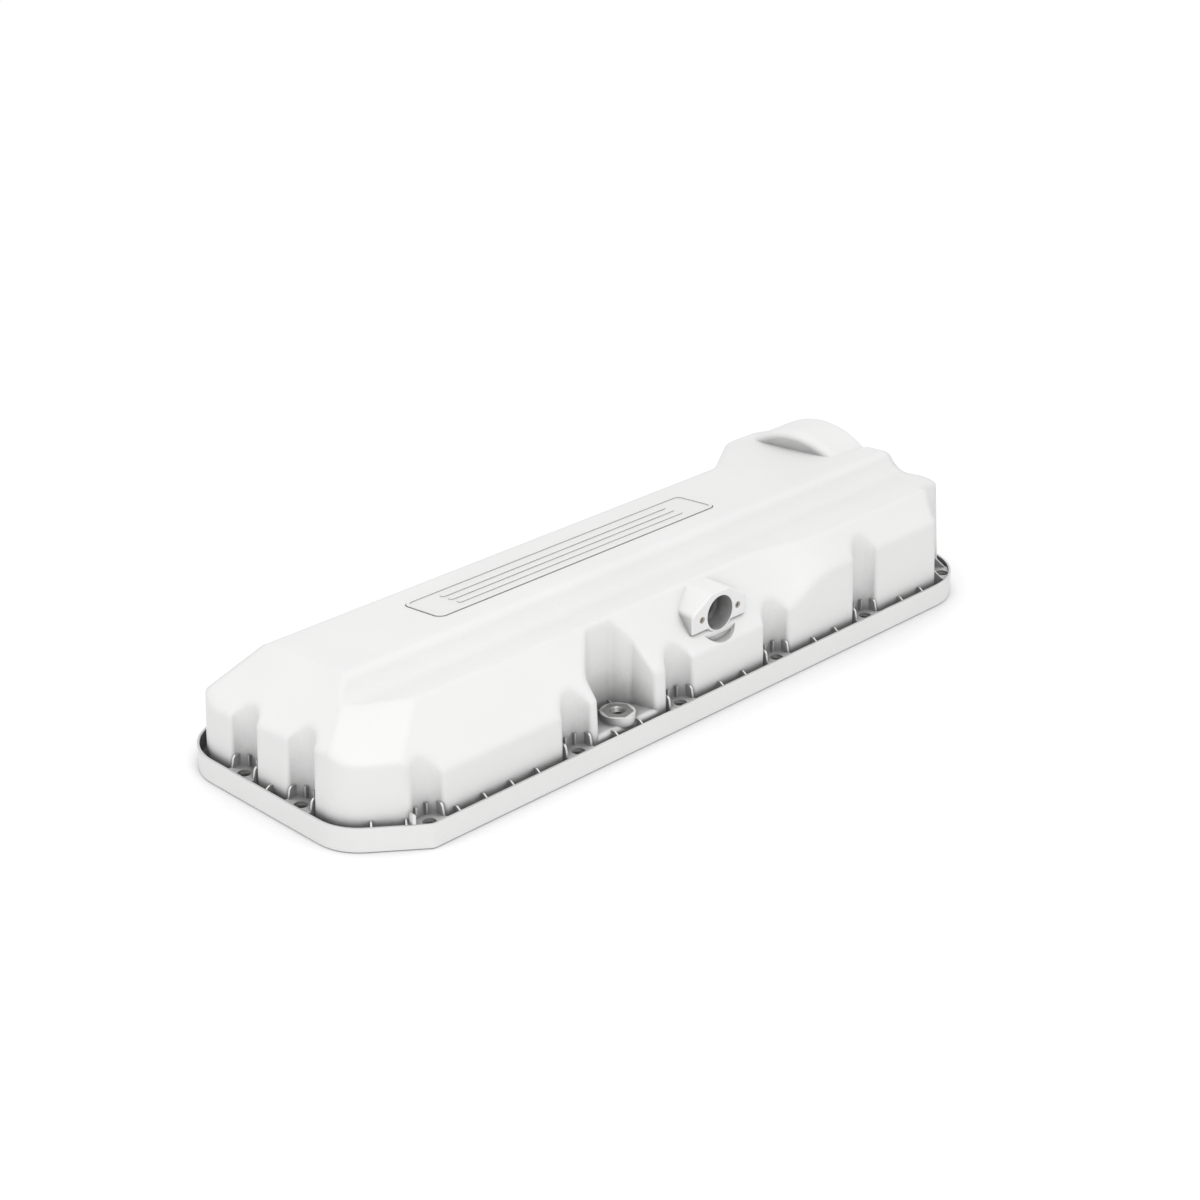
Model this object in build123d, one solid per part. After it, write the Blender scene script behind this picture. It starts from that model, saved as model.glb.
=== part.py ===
"""Moulded valve cover for a six-cylinder engine, with its seal, limiters, inserts and plate.

+X runs along the cover towards the gear end, -Y is the side with the port, +Z is up.
The origin is under the middle of the flange, on the plane that the free seal rests on. All
heights below are measured from the flange face, and main() lifts the pieces by the seal's rise.
"""
import math
import os

from build123d import *

# ---- flange -------------------------------------------------------------------------
cover_length = 1100.0
cover_width = 382.0
corner_radius = 78.0          # plan radius of the two back corners
front_corner_radius = 86.0    # and of the front right corner
oblique_cut_x = 88.0          # oblique front left corner, measured along X
oblique_cut_y = 68.0          # and along Y
oblique_radius_left = 66.0
oblique_radius_front = 12.0
skirt_height = 31.0
skirt_wall = 3.0
flange_thickness = 9.0
flange_ledge = 9.0            # the flange reaches this far inside the wall's outer face

# ---- body ---------------------------------------------------------------------------
wall_inset = 10.8             # skirt face to body wall
wall_thickness = 4.0
wall_draft = 2.0              # degrees
end_draft = 3.5               # degrees, the wall at the gear end
crown_edge_radius = 9.0

# ---- crown: the roof leans down towards the back --------------------------------------
crown_tilt = 5.1              # degrees
crease_y = -121.1             # front edge of the roof, left part
crease_z = 153.7
crease_step = 25.3            # how far the right part of that edge stands forward
crease_step_x = 135.0         # where that step starts
crease_step_run = 127.0
front_slope = 56.5            # degrees, measured from the tilted roof
back_slope = 46.2
end_slope = 41.3
roof_depth = 226.2            # crease to back edge, along the tilted roof
roof_rise = 25.2              # the back edge above the crease, square to the tilt
end_slope_x = -492.2          # the end slope at the height of the crease
end_bevel_x = 70.0            # oblique corner of the roof
end_bevel_y = 52.0
back_step_x = 331.0           # the roof reaches further back at the gear end
back_step_run = 93.0
back_step = 63.0
back_step_radius = 45.0
back_step_lean = 0.6          # its flank stands steeper than the back slope
ledge_fall = 0.106            # the strip behind the crease falls towards the back
ledge_depth = 54.8
riser_run = 20.0              # rise from that strip to the roof
riser_rise = 24.5
ledge_radius = 30.0
riser_radius = 17.0
roof_fall = 0.09

# ---- bolt places ----------------------------------------------------------------------
bolt_inset = 12.3             # bolt axis from the skirt face
front_bolt_x = (-458.0, -219.0, -39.5, 142.5, 322.0)
back_bolt_x = (-430.0, -219.0, -39.5, 142.5, 322.0)
left_bolt_y = (-44.5, 62.0)
right_bolt_y = (12.0,)
front_corner_angle = -56.0   # degrees, direction of the front right corner's bolt
back_corner_angle = 18.0
flute_radius = 24.0
front_corner_flute = 31.0     # radius of the flute in the front right corner
flute_offset = 6.6            # flute axis outboard of the bolt axis
flute_draft = 1.2
flute_edge_radius = 8.0
pad_height = 28.5             # seat of the bolt above the flange face
pad_half_width = 22.0
limiter_diameter = 17.0
limiter_bore = 12.0
limiter_recess = 3.0
side_rib_offset = 20.5
side_rib_wall = 3.0
side_rib_height = 15.5
side_rib_flat = 7.5
side_rib_foot = 9.5           # the foot of a side rib from the skirt face
back_rib_offset = 8.0
back_rib_wall = 2.8
back_rib_reach = 3.2

# ---- gussets between skirt and wall ---------------------------------------------------
gusset_wall = 2.2
gusset_height = 34.5
front_gusset_x = (-419.0, -377.0, -334.0, -292.0, -160.0, -117.0, 30.0, 73.0, 211.0, 254.0,
                  391.0, 434.0)
back_gusset_x = (-377.0, -334.0, -291.0, -160.0, -117.0, 30.0, 73.0, 211.0, 254.0, 391.0, 434.0)
left_gusset_y = (8.8,)
right_gusset_y = (-44.0, 68.0)
oblique_gusset_share = (0.36, 0.72)

# ---- seal -----------------------------------------------------------------------------
seal_edge = 1.5               # groove from the wall's outer face, in plan
seal_width = 5.5
seal_groove_depth = 5.5
seal_proud = 1.5              # the free seal stands below the flange
seal_side_gap = 0.2

# ---- dome over the gear end -----------------------------------------------------------
dome_start_x = 453.0
dome_front_y = -1.8
dome_front_z = 168.7
dome_chord = 151.0
dome_fall = 5.1               # degrees
dome_sagitta = 26.0
dome_edge_radius = 12.0
dome_end_x = 526.0
dome_end_radius = 9.0
dome_root = 25.0              # how deep the dome reaches into the body

# ---- port on the front shoulder -------------------------------------------------------
port_x = 45.0
port_y = -166.0
port_z = 120.8
port_bore = 46.5
port_inner_bore = 34.0
port_bore_depth = 26.0
port_half_width = 50.0
port_low = 17.6
port_side_top = 10.3
port_top = 30.8
port_top_half = 16.1
port_lobe_radius = 28.0
port_relief_radius = 37.0
port_screw_offset = 33.0
port_insert_diameter = 9.0
port_insert_bore = 5.0
port_insert_length = 14.0
port_edge = 2.5

# ---- pocket with the hexagon insert ----------------------------------------------------
pocket_floor = 34.0
pocket_draft = 1.5
pocket_corner_radius = 9.0
pocket_edge_radius = 7.0
pocket_x = -131.8
pocket_y = -159.3
boss_radius = 22.3
boss_top = 44.0
boss_rib_wall = 2.5
boss_rib_angles = (63.0, 123.0)
hex_turn = 12.0               # degrees
hex_across_flats = 35.0
hex_thickness = 9.0
hex_bore = 18.0

# ---- name plate, left plain -------------------------------------------------------------
plate_x0 = -282.3
plate_x1 = 212.2
plate_y0 = -5.6
plate_y1 = 67.0
plate_corner = 12.0
plate_recess = 3.2
plate_thickness = 5.0
plate_gap = 1.2
plate_rim = 4.0
plate_rim_height = 1.0
plate_bar_count = 3
plate_bar_width = 8.0
plate_bar_length = 400.0

end_x = cover_length / 2.0
side_y = cover_width / 2.0
wall_top = 220.0              # taller than the roof, the roof cuts it down


def tan(angle):
    return math.tan(math.radians(angle))


def one(shape):
    """The single solid of a result."""
    solids = shape.solids()
    return max(solids, key=lambda s: s.volume)


# ---- plan outlines --------------------------------------------------------------------
def oblique_line(inset):
    """Left and front corner of the oblique edge, moved inward."""
    length = math.hypot(oblique_cut_x, oblique_cut_y)
    nx, ny = oblique_cut_y / length, oblique_cut_x / length
    dx, dy = oblique_cut_x / length, -oblique_cut_y / length
    px = -end_x + nx * inset
    py = -side_y + oblique_cut_y + ny * inset
    to_left = (-end_x + inset - px) / dx
    to_front = (-side_y + inset - py) / dy
    left = (-end_x + inset, py + dy * to_left)
    front = (px + dx * to_front, -side_y + inset)
    return left, front


def outline(inset, end_lean=0.0, corner_inset=None):
    """Plan of the skirt, moved inward by inset, and by end_lean more at the gear end."""
    left, front = oblique_line(inset)
    right = end_x - inset - end_lean
    corners = [
        left,
        front,
        (right, -side_y + inset),
        (right, side_y - inset),
        (-end_x + inset, side_y - inset),
    ]
    if corner_inset is None:
        corner_inset = inset
    radii = [
        max(oblique_radius_left - inset, 1.0),
        oblique_radius_front,
        max(front_corner_radius - corner_inset, 1.0),
        max(corner_radius - corner_inset, 1.0),
        max(corner_radius - inset, 1.0),
    ]
    with BuildSketch() as sketch:
        with BuildLine():
            Polyline(*corners, close=True)
        make_face()
    face = sketch.sketch
    for corner, radius in zip(corners, radii):
        vertex = face.vertices().sort_by_distance((corner[0], corner[1], 0))[0]
        face = fillet(vertex, radius)
    return face.face()


def bolt_places():
    """Bolt axis, outward direction and flute radius of every place, front first."""
    places = []
    for x in front_bolt_x:
        places.append((x, -side_y + bolt_inset, -90.0, flute_radius))
    for y in left_bolt_y:
        places.append((-end_x + bolt_inset, y, 180.0, flute_radius))
    for side, radius, angle, flute in (
        (-1, front_corner_radius, front_corner_angle, front_corner_flute),
        (1, corner_radius, back_corner_angle, flute_radius),
    ):
        arm = radius - bolt_inset
        x = end_x - radius + arm * math.cos(math.radians(angle))
        y = side * (side_y - radius) + arm * math.sin(math.radians(angle))
        places.append((x, y, angle, flute))
    for y in right_bolt_y:
        places.append((end_x - bolt_inset, y, 0.0, flute_radius))
    for x in back_bolt_x:
        places.append((x, side_y - bolt_inset, 90.0, flute_radius))
    return places


bolts = bolt_places()


def flute_axis(place):
    x, y, angle, radius = place
    turn = math.radians(angle)
    return x + flute_offset * math.cos(turn), y + flute_offset * math.sin(turn)


def wall_plan(inset):
    """Foot of the wall with its flutes, moved inward by inset."""
    plain = outline(wall_inset + inset)
    with BuildSketch() as sketch:
        add(plain)
        for place in bolts:
            with Locations(flute_axis(place)):
                Circle(place[3] + inset, mode=Mode.SUBTRACT)
    face = sketch.sketch
    mouth = []
    for vertex in face.vertices():
        for place in bolts:
            x, y = flute_axis(place)
            if abs(math.hypot(vertex.X - x, vertex.Y - y) - place[3] - inset) < 0.01:
                mouth.append(vertex)
    return fillet(mouth, max(flute_edge_radius - inset, 1.0)).face()


# ---- crown ----------------------------------------------------------------------------
crown_plane = Plane(
    origin=(0, crease_y, crease_z),
    x_dir=(1, 0, 0),
    z_dir=(0, math.sin(math.radians(crown_tilt)), math.cos(math.radians(crown_tilt))),
)


def crown_plan(level, inset):
    """Outline of the crown at a level above the crease, square to the tilt."""
    front = level / tan(front_slope) + inset / math.sin(math.radians(front_slope))
    front_right = front - crease_step
    back = roof_depth - (level - roof_rise) / tan(back_slope)
    back = back - inset / math.sin(math.radians(back_slope))
    back_right = back + back_step
    left = end_slope_x + level / tan(end_slope) + inset / math.sin(math.radians(end_slope))
    right = end_x + 70.0
    step_0 = crease_step_x
    step_1 = crease_step_x + crease_step_run
    step_mid = ((step_0 + step_1) / 2.0, (front + front_right) / 2.0)
    flank_0 = back_step_x + (roof_rise - level) * back_step_lean + inset
    flank_1 = flank_0 + back_step_run
    plane = crown_plane.offset(level)
    with BuildSketch(plane) as sketch:
        with BuildLine():
            Line((left + end_bevel_x, front), (step_0, front))
            step_a = TangentArc((step_0, front), step_mid, tangent=(1, 0))
            TangentArc(step_mid, (step_1, front_right), tangent=step_a % 1)
            Line((step_1, front_right), (right, front_right))
            Line((right, front_right), (right, back_right))
            Line((right, back_right), (flank_1, back_right))
            Line((flank_1, back_right), (flank_0, back))
            Line((flank_0, back), (left, back))
            Line((left, back), (left, front + end_bevel_y))
            Line((left, front + end_bevel_y), (left + end_bevel_x, front))
        make_face()
    face = sketch.sketch
    for corner in ((flank_0, back), (flank_1, back_right)):
        point = plane.from_local_coords(Vector(corner[0], corner[1], 0))
        vertex = face.vertices().sort_by_distance(point)[0]
        face = fillet(vertex, back_step_radius)
    return face.face()


def roof_profile(inset):
    """Section of the roof in the YZ plane: ledge, riser, roof."""
    valley_y = crease_y + ledge_depth
    edge_y = valley_y + riser_run
    drop = inset

    def ledge_z(y):
        return crease_z - ledge_fall * (y - crease_y) - drop

    edge_z = ledge_z(valley_y) + riser_rise
    valley = (valley_y, ledge_z(valley_y))
    edge = (edge_y, edge_z)
    back_z = edge_z - roof_fall * (300.0 - edge_y)
    with BuildSketch(Plane.YZ.offset(-end_x - 150.0)) as sketch:
        with BuildLine():
            Polyline(
                (-300.0, -10.0),
                (-300.0, ledge_z(-300.0)),
                valley,
                edge,
                (300.0, back_z),
                (300.0, -10.0),
                close=True,
            )
        make_face()
    face = sketch.sketch
    for point, radius in ((valley, ledge_radius), (edge, riser_radius)):
        vertex = face.vertices().sort_by_distance((-end_x - 150.0, point[0], point[1]))[0]
        face = fillet(vertex, radius)
    return face.face()


def wall_block(inset):
    """Block inside the wall, moved inward by inset, leaning in more at the gear end."""
    foot = wall_inset + inset
    lean = wall_top * tan(wall_draft)
    end_lean = wall_top * tan(end_draft) - lean
    high = Pos(0, 0, wall_top) * outline(foot + lean, end_lean, foot)
    return one(loft([outline(foot), high], ruled=True))


def body_block(inset):
    """The closed body, moved inward by inset, with sharp edges."""
    wall = wall_block(inset)
    slopes = loft([crown_plan(-200.0, inset), crown_plan(45.0, inset)], ruled=True)
    roof = extrude(roof_profile(inset), amount=2.0 * end_x + 300.0, dir=(1, 0, 0))
    return one(one(wall & slopes) & roof)


def face_kind(face):
    centre = face.position_at(0.5, 0.5)
    normal = face.normal_at(centre)
    if normal.Z < -0.9:
        return "bottom"
    if abs(normal.Z) < 0.1:
        return "wall"
    if abs(normal.X) > 0.02 or abs(normal.Y) > 0.76:
        return "slope"
    return "roof"


def edge_key(edge):
    c = edge.center()
    return round(c.X, 2), round(c.Y, 2), round(c.Z, 2), round(edge.length, 2)


def edges_between_kinds(body):
    """Edges where wall, slope and roof meet each other."""
    sides = {}
    edges = {}
    for face in body.faces():
        kind = face_kind(face)
        for edge in face.edges():
            key = edge_key(edge)
            sides.setdefault(key, set()).add(kind)
            edges[key] = edge
    chosen = []
    for key, kinds in sides.items():
        if len(kinds) == 2 and "bottom" not in kinds:
            chosen.append(edges[key])
    return chosen


def flute_tool(place, grow):
    x, y = flute_axis(place)
    return extrude(Pos(x, y, 0) * Circle(place[3] + grow), amount=wall_top, taper=-flute_draft)


def flute_edges(body, place):
    """Edges round the mouth of one flute, without those at the foot."""
    x, y = flute_axis(place)
    found = {}
    for face in body.faces().filter_by(GeomType.CONE):
        c = face.position_at(0.5, 0.5)
        reach = math.hypot(c.X - x, c.Y - y)
        if abs(reach - place[3] - c.Z * tan(flute_draft)) < 0.05:
            for edge in face.edges():
                if edge.center().Z > 1.0:
                    found[edge_key(edge)] = edge
    return list(found.values())


# ---- dome -----------------------------------------------------------------------------
def dome_solid(inset):
    """Segment of a cylinder on the roof, its axis along X."""
    turn = math.radians(dome_fall)
    ax, az = math.cos(turn), -math.sin(turn)
    nx, nz = math.sin(turn), math.cos(turn)
    radius = (dome_chord**2 / 4.0 + dome_sagitta**2) / (2.0 * dome_sagitta)
    centre_y = dome_front_y + ax * dome_chord / 2.0 + nx * (dome_sagitta - radius)
    centre_z = dome_front_z + az * dome_chord / 2.0 + nz * (dome_sagitta - radius)
    start = dome_start_x + inset
    with BuildSketch(Plane.YZ.offset(start)) as sketch:
        with Locations((centre_y, centre_z)):
            Circle(radius - inset)
    log = extrude(sketch.sketch.face(), amount=dome_end_x - inset - start, dir=(1, 0, 0))
    low = Pos(end_x / 2.0, centre_y, centre_z + radius - dome_sagitta - dome_root - inset)
    keep = low * Box(2.0 * end_x, 400.0, 400.0, align=(Align.CENTER, Align.CENTER, Align.MIN))
    log = one(log & keep)
    if inset == 0.0:
        rims = log.edges().filter_by(GeomType.CIRCLE).sort_by(Axis.X)
        log = one(log.fillet(dome_edge_radius, [rims[0]]))
        rims = log.edges().filter_by(GeomType.CIRCLE).sort_by(Axis.X)
        log = one(log.fillet(dome_end_radius, [rims[-1]]))
    return log


# ---- port -----------------------------------------------------------------------------
def port_plane(depth):
    """Plane of the port face, moved into the cover by depth, with +Z outward."""
    return Plane(origin=(port_x, port_y + depth, port_z), x_dir=(1, 0, 0), z_dir=(0, -1, 0))


def port_housing():
    with BuildSketch(port_plane(0.0)) as sketch:
        with BuildLine():
            Polyline(
                (-port_half_width, -port_low),
                (port_half_width, -port_low),
                (port_half_width, port_side_top),
                (port_top_half, port_top),
                (-port_top_half, port_top),
                (-port_half_width, port_side_top),
                close=True,
            )
        make_face()
        Circle(port_lobe_radius)
    face = sketch.sketch
    centre = port_plane(0.0)
    for u, v, radius in (
        (-port_half_width, -port_low, 3.0),
        (port_half_width, -port_low, 3.0),
        (port_half_width, port_side_top, 8.0),
        (-port_half_width, port_side_top, 8.0),
        (port_top_half, port_top, 14.0),
        (-port_top_half, port_top, 14.0),
    ):
        point = centre.from_local_coords(Vector(u, v, 0))
        vertex = face.vertices().sort_by_distance(point)[0]
        face = fillet(vertex, radius)
    solid = one(extrude(face.face(), amount=60.0, dir=(0, 1, 0)))
    front = solid.faces().sort_by(Axis.Y)[0]
    return one(solid.chamfer(port_edge, port_edge, front.edges()))


def along_port(radius, depth_0, depth_1, offset=0.0):
    """Cylinder along the port axis between two depths behind its face."""
    plane = port_plane(depth_1)
    with BuildSketch(plane) as sketch:
        with Locations((offset, 0)):
            Circle(radius)
    return extrude(sketch.sketch.face(), amount=depth_1 - depth_0)


# ---- pocket ---------------------------------------------------------------------------
def pocket_tool(grow):
    """Pocket beside the hexagon insert, open to the front, with round corners."""
    corners = [
        (-184.0 - grow, -260.0),
        (-180.3 - grow, -153.7 + 0.4 * grow),
        (-151.0 - 0.5 * grow, -127.3 + grow),
        (-111.4 + 0.5 * grow, -127.3 + grow),
        (-93.5 + grow, -143.5 + 0.6 * grow),
        (-84.0 + grow, -176.0),
        (-84.0 + grow, -260.0),
    ]
    with BuildSketch(Plane.XY.offset(pocket_floor - grow)) as sketch:
        with BuildLine():
            Polyline(*corners, close=True)
        make_face()
    tool = one(extrude(sketch.sketch.face(), amount=wall_top, taper=-pocket_draft))
    upright = []
    for edge in tool.edges():
        if abs(edge.tangent_at(0.5).Z) > 0.9 and edge.center().Y > -200.0:
            upright.append(edge)
    return one(tool.fillet(pocket_corner_radius, upright))


def common_edges(body, first, second):
    """Edges of a body that lie on the skins of two other solids."""
    skin_a = first.shell()
    skin_b = second.shell()
    chosen = []
    for edge in body.edges():
        points = [Vertex(*edge.position_at(share)) for share in (0.1, 0.5, 0.9)]
        if all(skin_a.distance_to(point) < 0.02 for point in points):
            if all(skin_b.distance_to(point) < 0.02 for point in points):
                chosen.append(edge)
    return chosen


def roof_z(y):
    """Height of the sharp roof plane behind the riser."""
    valley_y = crease_y + ledge_depth
    edge_y = valley_y + riser_run
    edge_z = crease_z - ledge_fall * ledge_depth + riser_rise
    return edge_z - roof_fall * (y - edge_y)


roof_angle = math.degrees(math.atan(roof_fall))
plate_centre_x = (plate_x0 + plate_x1) / 2.0
plate_centre_y = (plate_y0 + plate_y1) / 2.0
plate_plane = Plane(
    origin=(plate_centre_x, plate_centre_y, roof_z(plate_centre_y)),
    x_dir=(1, 0, 0),
    z_dir=(0, math.sin(math.radians(roof_angle)), math.cos(math.radians(roof_angle))),
)
plate_length = plate_x1 - plate_x0
plate_width = (plate_y1 - plate_y0) / math.cos(math.radians(roof_angle))


def plate_slab(inset, low, high, corner):
    with BuildSketch(plate_plane.offset(low)) as sketch:
        RectangleRounded(plate_length - 2.0 * inset, plate_width - 2.0 * inset, corner)
    return extrude(sketch.sketch.face(), amount=high - low)


# ---- moulded shell --------------------------------------------------------------------
def flange():
    """Base plate and skirt, one ring of the plan outline."""
    block = extrude(outline(0.0), amount=skirt_height)
    trough = extrude(outline(skirt_wall), amount=skirt_height)
    return one(block - Pos(0, 0, flange_thickness) * trough)


def at_bolt(place):
    """Frame of a bolt place: +X outward, the origin on the flange face."""
    x, y, angle, radius = place
    return Location((x, y, 0), (0, 0, angle))


def bolt_pad(place):
    """Raised seat under a bolt, with two side ribs and two ribs up the flute."""
    flute = place[3]
    back = flute - flute_offset + 1.0
    pad = Pos(-back, 0, 0) * Box(
        back + bolt_inset - 1.0,
        2.0 * pad_half_width,
        pad_height,
        align=(Align.MIN, Align.CENTER, Align.MIN),
    )
    parts = [pad]
    side_back = math.sqrt(flute**2 - side_rib_offset**2) - flute_offset
    foot = bolt_inset - side_rib_foot
    start = -side_back - 3.5
    for side in (-1, 1):
        plane = Plane(
            origin=(0, side * side_rib_offset + side_rib_wall / 2.0, 0),
            x_dir=(1, 0, 0),
            z_dir=(0, -1, 0),
        )
        with BuildSketch(plane) as sketch:
            with BuildLine():
                Polyline(
                    (start, pad_height - 4.0),
                    (start, pad_height + side_rib_height),
                    (-side_back + 0.45 * side_rib_flat, pad_height + side_rib_height),
                    (-side_back + 0.8 * side_rib_flat, pad_height + 0.8 * side_rib_height),
                    (foot, pad_height),
                    (foot, pad_height - 4.0),
                    close=True,
                )
            make_face()
        parts.append(extrude(sketch.sketch.face(), amount=side_rib_wall))
    deep = math.sqrt(flute**2 - back_rib_offset**2) - flute_offset
    for side in (-1, 1):
        rib = Pos(-deep - 3.0, side * back_rib_offset, pad_height - 4.0) * Box(
            3.0 + back_rib_reach,
            back_rib_wall,
            side_rib_height + 4.0,
            align=(Align.MIN, Align.CENTER, Align.MIN),
        )
        parts.append(rib)
    return [at_bolt(place) * part for part in parts]


def gusset(x, y, angle):
    """Thin rib between skirt and wall; the frame's +X points outward from the skirt face."""
    run = wall_inset + 3.0
    plane = Plane(origin=(0, gusset_wall / 2.0, 0), x_dir=(1, 0, 0), z_dir=(0, -1, 0))
    with BuildSketch(plane) as sketch:
        with BuildLine():
            Polyline(
                (-run, flange_thickness - 2.0),
                (-run, gusset_height),
                (-wall_inset + 2.6, gusset_height),
                (-skirt_wall + 1.0, skirt_height - 0.6),
                (-skirt_wall + 1.0, flange_thickness - 2.0),
                close=True,
            )
        make_face()
    return Location((x, y, 0), (0, 0, angle)) * extrude(sketch.sketch.face(), amount=gusset_wall)


def gussets():
    parts = []
    for x in front_gusset_x:
        parts.append(gusset(x, -side_y, -90.0))
    for x in back_gusset_x:
        parts.append(gusset(x, side_y, 90.0))
    for y in left_gusset_y:
        parts.append(gusset(-end_x, y, 180.0))
    for y in right_gusset_y:
        parts.append(gusset(end_x, y, 0.0))
    left, front = oblique_line(0.0)
    angle = math.degrees(math.atan2(-oblique_cut_x, -oblique_cut_y))
    for share in oblique_gusset_share:
        x = left[0] + (front[0] - left[0]) * share
        y = left[1] + (front[1] - left[1]) * share
        parts.append(gusset(x, y, angle))
    return parts


def boss():
    """Round boss on the pocket floor and its two ribs, kept behind the front wall."""
    parts = [
        Pos(pocket_x, pocket_y, pocket_floor - 3.0)
        * Cylinder(
            boss_radius,
            boss_top - pocket_floor + 3.0,
            align=(Align.CENTER, Align.CENTER, Align.MIN),
        )
    ]
    for angle in boss_rib_angles:
        rib = Box(
            36.0,
            boss_rib_wall,
            boss_top - pocket_floor + 1.0,
            align=(Align.MIN, Align.CENTER, Align.MIN),
        )
        parts.append(Location((pocket_x, pocket_y, pocket_floor - 3.0), (0, 0, angle)) * rib)
    return parts


def outer_body():
    """Body with the pocket and the flutes cut, edges rounded, then dome, port and boss."""
    body = body_block(0.0)
    body = one(body.fillet(crown_edge_radius, edges_between_kinds(body)))
    pocket = pocket_tool(0.0)
    open_body = one(body - pocket)
    rim = common_edges(open_body, pocket, body)
    body = one(open_body.fillet(pocket_edge_radius, rim))
    for place in bolts:
        body = body - flute_tool(place, 0.0)
    body = one(body)
    mouths = []
    for place in bolts:
        mouths += flute_edges(body, place)
    body = one(body.fillet(flute_edge_radius, mouths))
    body = one(body - along_port(port_relief_radius, -60.0, 0.0))
    return one(body + [dome_solid(0.0), port_housing()] + boss())


def cavity():
    """Space inside the wall, less what hangs into it."""
    room = body_block(wall_thickness) + dome_solid(wall_thickness)
    below = Pos(0, 0, -50.0) * Box(
        2.0 * cover_length,
        2.0 * cover_width,
        50.0 + flange_thickness,
        align=(Align.CENTER, Align.CENTER, Align.MIN),
    )
    solids = [below, pocket_tool(wall_thickness)]
    for place in bolts:
        solids.append(flute_tool(place, wall_thickness))
    solids.append(
        along_port(port_bore / 2.0 + wall_thickness, -5.0, port_bore_depth + wall_thickness)
    )
    for side in (-1, 1):
        radius = port_insert_diameter / 2.0 + 3.0
        offset = side * port_screw_offset
        solids.append(along_port(radius, -5.0, port_insert_length + 3.0, offset))
    floor = -plate_recess - wall_thickness
    solids.append(plate_slab(-wall_thickness, floor, 30.0, plate_corner + wall_thickness))
    solids.append(
        Pos(pocket_x, pocket_y, flange_thickness)
        * Cylinder(boss_radius, pocket_floor, align=(Align.CENTER, Align.CENTER, Align.MIN))
    )
    return one(room - solids)


def cover_shell():
    within = extrude(outline(skirt_wall / 2.0), amount=wall_top)
    parts = [outer_body()]
    for place in bolts:
        for part in bolt_pad(place):
            parts.append(one(part & within))
    parts += gussets()
    shell = one(flange() + parts)
    cuts = [
        cavity(),
        extrude(wall_plan(flange_ledge), amount=flange_thickness + 2.0),
        plate_slab(0.0, -plate_recess, 30.0, plate_corner),
        along_port(port_bore / 2.0, -5.0, port_bore_depth),
        along_port(port_inner_bore / 2.0, 0.0, port_bore_depth + 12.0),
        hex_prism(hex_across_flats, boss_top - hex_thickness, boss_top + 2.0),
        hex_hole(),
    ]
    for side in (-1, 1):
        radius = port_insert_diameter / 2.0
        cuts.append(along_port(radius, -5.0, port_insert_length, side * port_screw_offset))
    for x, y, angle, radius in bolts:
        cuts.append(Pos(x, y, pad_height / 2.0) * Cylinder(limiter_diameter / 2.0, pad_height + 4.0))
    shell = shell - cuts
    return one(shell - seal_ring(0.0, 0.0, seal_groove_depth))


# ---- the other pieces -----------------------------------------------------------------
def seal_ring(gap, low, high):
    """Band that follows the foot of the wall and its flutes."""
    outer = extrude(wall_plan(seal_edge + gap), amount=high - low)
    inner = extrude(wall_plan(seal_edge + seal_width - gap), amount=high - low)
    return Pos(0, 0, low) * one(outer - inner)


def perimeter_gasket():
    return seal_ring(seal_side_gap, -seal_proud, seal_groove_depth)


def bolt_limiter(place):
    """Steel tube that takes the bolt's clamping load through the flange."""
    x, y, angle, radius = place
    height = pad_height - limiter_recess
    tube = Cylinder(
        limiter_diameter / 2.0, height, align=(Align.CENTER, Align.CENTER, Align.MIN)
    ) - Cylinder(limiter_bore / 2.0, 3.0 * height)
    tube = one(tube)
    rims = tube.edges().filter_by(GeomType.CIRCLE).sort_by(SortBy.RADIUS)[:2]
    return Pos(x, y, 0) * one(tube.chamfer(0.6, 0.6, rims))


def hex_prism(flats, low, high):
    with BuildSketch(Plane.XY.offset(low)) as sketch:
        with Locations((pocket_x, pocket_y)):
            RegularPolygon(flats / math.sqrt(3.0), 6, rotation=hex_turn)
    return extrude(sketch.sketch.face(), amount=high - low)


def hex_hole():
    low = flange_thickness + 8.0
    return Pos(pocket_x, pocket_y, low) * Cylinder(
        hex_bore / 2.0, boss_top, align=(Align.CENTER, Align.CENTER, Align.MIN)
    )


def hex_insert():
    body = one(hex_prism(hex_across_flats, boss_top - hex_thickness, boss_top + 0.6))
    body = one(body - hex_hole())
    rim = body.edges().filter_by(GeomType.CIRCLE).sort_by(Axis.Z)[-1]
    return one(body.chamfer(1.2, 1.2, [rim]))


def port_insert(side):
    """Threaded bush for one screw of the port."""
    offset = side * port_screw_offset
    bush = along_port(port_insert_diameter / 2.0, 0.3, port_insert_length, offset)
    bush = one(bush - along_port(port_insert_bore / 2.0, -1.0, port_insert_length - 2.0, offset))
    rim = bush.edges().filter_by(GeomType.CIRCLE).sort_by(Axis.Y)[0:2]
    inner = rim.sort_by(SortBy.RADIUS)[0]
    return one(bush.chamfer(0.5, 0.5, [inner]))


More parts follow.
